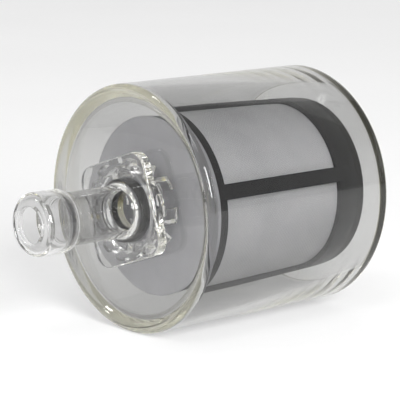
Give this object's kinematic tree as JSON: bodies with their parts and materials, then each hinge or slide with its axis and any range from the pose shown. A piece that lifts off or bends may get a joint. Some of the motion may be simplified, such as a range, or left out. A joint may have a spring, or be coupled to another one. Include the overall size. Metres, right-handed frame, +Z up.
{
  "type": "inline magnetic filter",
  "caption": "Clear inline capsule filter with beaded hose spigot, a fine screen in a black cage and a magnet core.",
  "frame": {"origin": "centre of the clear barrel", "axes": "+X along the barrel from inlet to outlet, +Z up"},
  "size_m": [0.0971, 0.06, 0.06],
  "materials": {
    "clear_plastic": "clear polished plastic",
    "black_plastic": "moulded satin",
    "rubber": "moulded matt",
    "grey_disc": "smooth satin",
    "mesh": "fine woven wire",
    "stainless": "drawn",
    "mild_steel": "plain",
    "magnet": "nickel plated"
  },
  "bodies": {
    "root": {"housing_tube": "clear_plastic", "front_end_plate": "clear_plastic", "rear_end_plate": "clear_plastic", "inlet_fitting": "clear_plastic", "outlet_fitting": "clear_plastic", "locating_collar": "clear_plastic", "cage_frame": "black_plastic", "rear_spider": "black_plastic", "cartridge_seal": "rubber", "inlet_gasket": "rubber", "outlet_gasket": "rubber", "plug_o_rings": "rubber", "baffle_disc": "grey_disc", "screen_sleeve": "mesh", "core_screw": "stainless", "magnet_sheath": "stainless", "sheath_front_plug": "stainless", "sheath_rear_plug": "stainless", "pole_discs": "mild_steel", "magnet_discs": "magnet"}
  },
  "joints": []
}
